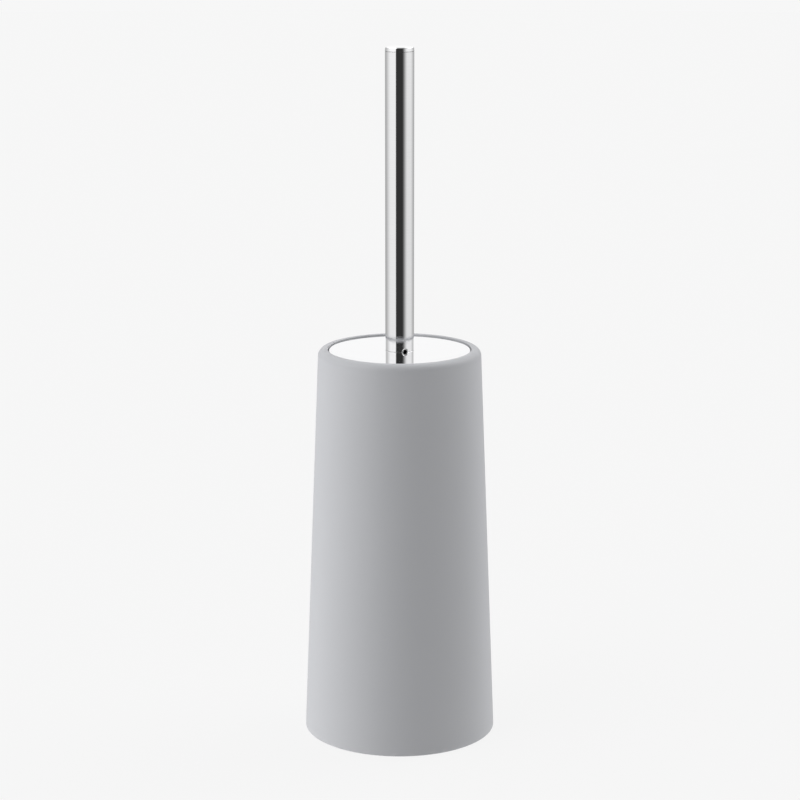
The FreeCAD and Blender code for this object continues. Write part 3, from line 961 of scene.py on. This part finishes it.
def make_stem_socket(look):
    """Plug in the stem's foot, with the female thread for the head."""
    foot, top = low("stem_thread_insert"), high("stem_thread_insert")
    bore_top = top - SOCKET_END_GAP
    socket = turned("stem_socket", "handle", [
        (0, top),
        (PLUG_RADIUS, top, MOULDED_ROUND),
        (PLUG_RADIUS, foot, EDGE),
        (HEAD_THREAD_BORE, foot, SOCKET_LEAD),
        (HEAD_THREAD_BORE, bore_top, SMALL_ROUND),
        (0, bore_top),
    ], "stem_thread_insert", closed=False)
    dress(socket, look["turned"])
    crest = HEAD_THREAD_MINOR + HEAD_THREAD_CLEARANCE
    ridge = thread_ridge("stem_socket_thread", "handle", HEAD_THREAD_BORE, crest,
                         HEAD_THREAD_PITCH, low("stem_tube") + SOCKET_THREAD_END,
                         bore_top - SOCKET_THREAD_END, phase=math.pi)
    dress(ridge, look["turned"])


# ---- brush head ------------------------------------------------------------------------


def make_head(look):
    """Moulded core with its tuft holes and screw thread, and the washer above its collar."""
    core = merged_copy("brush_core", "head_core", "head")
    dress(core, look["core"])
    thread = thread_ridge("brush_thread", "head", HEAD_THREAD_MINOR, HEAD_THREAD_MAJOR,
                          HEAD_THREAD_PITCH, low("head_washer") + HEAD_THREAD_END,
                          high("head_core") - HEAD_THREAD_END)
    dress(thread, look["core"])
    outline = washer_section("head_washer", TUBE_RADIUS, PLUG_ROUND, MOULDED_ROUND)
    seal = turned("neck_seal", "washer", outline, "head_washer", segments=SMALL_SEGMENTS)
    dress(seal, look["rubber"])
    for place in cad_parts["tuft_staples"].material_slots:
        place.material = look["zinc"]


def tuft_directions():
    """Node name, start height and outward directions of the tufts of each row."""
    dome_height = low("bristle_tip") + TUFT_REACH
    rows = []
    for row in range(SIDE_ROWS):
        name = f"bristle_row_{row + 1}"
        rows.append((name, (low(name) + high(name)) / 2, 0.0, row, SIDE_TUFTS))
    for row, (below_level, count) in enumerate(DOME_ROWS):
        rows.append((f"bristle_dome_{row + 1}", dome_height, math.radians(below_level), row, count))
    for name, height, dip, row, count in rows:
        turn = TURN * (np.arange(count) + 0.5 * (row % 2)) / count
        level, down = math.cos(dip), 0 * turn - math.sin(dip)
        yield name, height, np.stack([level * np.cos(turn), level * np.sin(turn), down], -1)
    yield "bristle_tip", dome_height, np.array([[0.0, 0.0, -1.0]])


def make_bristles(look):
    """Each tuft is a sheaf of thin bent filaments that leave a round hole and spread out.

    A filament starts at a point of a sunflower pattern in the hole. Along its length t it is
    at start + t * (tip - start) + bend * t * (1 - t), and its section is a triangle.
    """
    rng = np.random.default_rng(SEED)
    steps = np.linspace(0, 1, FILAMENT_STEPS)
    t = steps[:, None]
    corner = np.arange(FILAMENT_SIDES) * TURN / FILAMENT_SIDES
    ring = np.stack([np.cos(corner), np.sin(corner)], -1)
    size = FILAMENT_RADIUS * (1 - FILAMENT_TAPER * t)
    count = np.arange(FILAMENTS)
    far = np.sqrt((count + 0.5) / FILAMENTS)
    root = CORE_RADIUS - TUFT_ROOT
    for name, height, outward in tuft_directions():
        tufts = len(outward)
        up = np.where(np.abs(outward[:, 2:]) > 0.9, [[1.0, 0.0, 0.0]], [[0.0, 0.0, 1.0]])
        side = np.cross(up, outward)
        side /= np.linalg.norm(side, axis=1, keepdims=True)
        rise = np.cross(outward, side)
        spin = count * GOLDEN_ANGLE + rng.uniform(0, TURN, (tufts, 1))
        spot = np.stack([far * np.cos(spin), far * np.sin(spin)], -1)
        start = spot * (TUFT_HOLE_RADIUS - FILAMENT_RADIUS)
        spread = SIDE_SPREAD if name.startswith("bristle_row") else DOME_SPREAD
        tip = spot * spread + rng.normal(0, TIP_SCATTER, spot.shape)
        tip[..., 1] += TUFT_LEAN.get(name, 0)
        bend = rng.normal(0, BEND_SCATTER, spot.shape)
        length = TUFT_REACH - rng.uniform(0, LENGTH_SCATTER, (tufts, FILAMENTS)) - TUFT_CROWN * far
        aside = start[:, :, None] + (tip - start)[:, :, None] * t + bend[:, :, None] * t * (1 - t)
        out = root + (length[:, :, None] - root) * steps
        aside = aside[:, :, :, None] + size[:, :, None] * ring
        axes = [axis[:, None, None, None] for axis in (outward, side, rise)]
        points = (axes[0] * out[:, :, :, None, None] + axes[1] * aside[..., :1]
                  + axes[2] * aside[..., 1:])
        points[..., 2] += height
        strands = tufts * FILAMENTS
        strand_points = FILAMENT_STEPS * FILAMENT_SIDES
        index = np.arange(strands * strand_points).reshape(strands, FILAMENT_STEPS, FILAMENT_SIDES)
        lower, upper = index[:, :-1], index[:, 1:]
        quads = np.stack([lower, np.roll(lower, -1, 2), np.roll(upper, -1, 2), upper], -1)
        faces = quads.reshape(-1, 4).tolist()
        faces += index[:, 0, ::-1].tolist() + index[:, -1].tolist()
        piece = new_piece(name.replace("bristle", "filaments"), points.reshape(-1, 3), faces,
                          "head", name, smooth_to=80)
        shade = np.repeat(rng.uniform(0, 1, strands), strand_points)
        along = np.tile(np.repeat(steps, FILAMENT_SIDES), strands)
        for label, values in (("shade", shade), ("along", along)):
            attribute = piece.data.attributes.new(label, "FLOAT", "POINT")
            attribute.data.foreach_set("value", values.astype(np.float32))
        dress(piece, look["bristle"])


# ---- studio ----------------------------------------------------------------------------

WHITE = grey(1.0)
BACKDROP = 0.930  # linear level of the pale surroundings
FLOOR_SHADE = 0.07  # share of the floor's level that shadows can take away
FLOOR_PAINT = 0.05  # matt part of the floor, on which the shadow falls
FLOOR_RADIUS = 6.0
FLOOR_CORNERS = 64

# Walls at about eye level, by degrees from the front: where the wall begins, its level at the
# back, what is added at the front, and where the one passes into the other.
WALLS = (
    ((-27.0, -33.0), 0.42, 0.45, (-138.0, -72.0)),  # left
    ((20.0, 66.0), 0.42, 0.36, (141.0, 95.0)),  # right
)
FRONT_GAP = 0.035  # level of the dark gap in front
BACK_WALL = 0.59
BACK_BEGINS = (-125.0, -165.0), (125.0, 165.0)
WALL_LIFT = 0.22  # the walls are brighter towards the horizon by this share

# Heights of a direction, as its Z on the unit sphere, between which a band sets in.
HORIZON = -0.20, 0.06
BACK_WALL_FOOT = -0.05, 0.10
SLOPE = 0.25, 0.45  # above it, or as far below level, the walls give way
ZENITH = 0.85, 0.98

# Light from the ceiling's and the floor's side, by degrees from the front: where a quarter
# begins, where it ends, its level from above and its level from below.
QUARTERS = (
    ((-27.0, -33.0), (-110.0, -70.0), 3.0, 2.1),  # left front
    ((-70.0, -110.0), (-165.0, -125.0), 1.6, 2.1),  # left back
    ((20.0, 50.0), (110.0, 70.0), 0.3, 1.75),  # right front
    ((70.0, 110.0), (165.0, 125.0), 3.0, 1.75),  # right back
    ((-33.0, -27.0), (50.0, 20.0), 0.3, 0.2),  # front
)
BACK_ABOVE, BACK_BELOW = 0.9, 0.4
OVERHEAD = 0.4

CAMERA_LENS = 106.95  # mm, on a sensor 36 mm wide
CAMERA_PLACE = (0.0002, -1.2993, 0.4979)
CAMERA_TILT = math.radians(13.238)


def floor_glow(graph):
    """Even pale glow that takes a faint shadow; the floor is clear from below."""
    strength = BACKDROP * (1 - FLOOR_SHADE)
    glow = graph.node("ShaderNodeEmission", {}, {"Color": WHITE, "Strength": strength})
    paint = graph.node("ShaderNodeBsdfDiffuse", {}, {"Color": grey(FLOOR_PAINT)})
    both = graph.node("ShaderNodeAddShader", {}, {0: glow, 1: paint})
    clear = graph.node("ShaderNodeBsdfTransparent")
    below = graph.node("ShaderNodeNewGeometry", output="Backfacing")
    return graph.node("ShaderNodeMixShader", {}, {0: below, 1: both, 2: clear})


def make_floor():
    """Wide pale disc that fades into the surroundings and keeps a faint contact shadow.

    The light that a floor would throw up is already in the studio's, so it throws none itself.
    """
    angle = np.arange(FLOOR_CORNERS) * TURN / FLOOR_CORNERS
    points = np.stack([FLOOR_RADIUS * np.cos(angle), FLOOR_RADIUS * np.sin(angle), 0 * angle], -1)
    mesh = bpy.data.meshes.new("studio_floor")
    mesh.from_pydata(points.tolist(), [], [list(range(FLOOR_CORNERS))])
    mesh.materials.append(material("studio_floor", floor_glow))
    floor = bpy.data.objects.new("studio_floor", mesh)
    bpy.context.scene.collection.objects.link(floor)
    floor.visible_diffuse = False
    floor.visible_glossy = False
    floor.visible_transmission = False
    floor.visible_shadow = False


def make_light():
    """Soft studio: a bright wall on the left, a dimmer one on the right, a dark gap in front.

    The level depends on the direction round the object, in degrees from the front, and on
    whether it comes from about level, from above or from the floor.
    """
    world = bpy.data.worlds.new("studio")
    bpy.context.scene.world = world
    world.use_nodes = True
    graph = Graph(world.node_tree)
    x, y, z = graph.split(graph.node("ShaderNodeTexCoord", output="Generated"))
    azimuth = graph.math("ARCTAN2", x, y * -1.0) * math.degrees(1)
    back = azimuth.ramp(*BACK_BEGINS[0]) + azimuth.ramp(*BACK_BEGINS[1])
    walls = FRONT_GAP + back * BACK_WALL * z.ramp(*BACK_WALL_FOOT)
    lift = 1 + WALL_LIFT * (z.ramp(*HORIZON) * (1 - back))
    for begins, far_level, near_more, between in WALLS:
        wall = azimuth.ramp(*begins) * (far_level + near_more * azimuth.ramp(*between))
        walls = walls + wall * lift
    from_above = back * BACK_ABOVE
    from_below = back * BACK_BELOW
    for begins, ends, level_above, level_below in QUARTERS:
        quarter = azimuth.ramp(*begins) * azimuth.ramp(*ends)
        from_above = from_above + quarter * level_above
        from_below = from_below + quarter * level_below
    above = z.ramp(*SLOPE)
    below = (z * -1.0).ramp(*SLOPE)
    overhead = z.ramp(*ZENITH)
    level = (walls * (1 - above) * (1 - below) + from_above * above * (1 - overhead)
             + from_below * below + overhead * OVERHEAD)
    lit = graph.node("ShaderNodeBackground", {}, {"Color": WHITE, "Strength": level})
    seen = graph.node("ShaderNodeBackground", {}, {"Color": WHITE, "Strength": BACKDROP})
    direct = graph.node("ShaderNodeLightPath", output="Is Camera Ray")
    both = graph.node("ShaderNodeMixShader", {}, {0: direct, 1: lit, 2: seen})
    graph.node("ShaderNodeOutputWorld", {}, {"Surface": both})


def make_camera():
    """Long lens a little above the handle, tilted down."""
    data = bpy.data.cameras.new("camera")
    data.lens = CAMERA_LENS
    data.sensor_width = 36.0
    camera = bpy.data.objects.new("camera", data)
    camera.location = CAMERA_PLACE
    camera.rotation_euler = (math.radians(90) - CAMERA_TILT, 0, 0)
    bpy.context.scene.collection.objects.link(camera)
    bpy.context.scene.camera = camera


def main():
    scene = bpy.context.scene
    scene.view_settings.view_transform = "Standard"
    make_camera()
    make_light()
    make_floor()
    look = finishes()
    make_shell(look)
    make_shell_ribs(look)
    make_base(look)
    make_lid(look)
    make_handle_tube(look)
    make_handle_cap(look)
    make_handle_plug(look)
    make_stud(look)
    make_stem(look)
    make_stem_socket(look)
    make_head(look)
    make_bristles(look)


main()
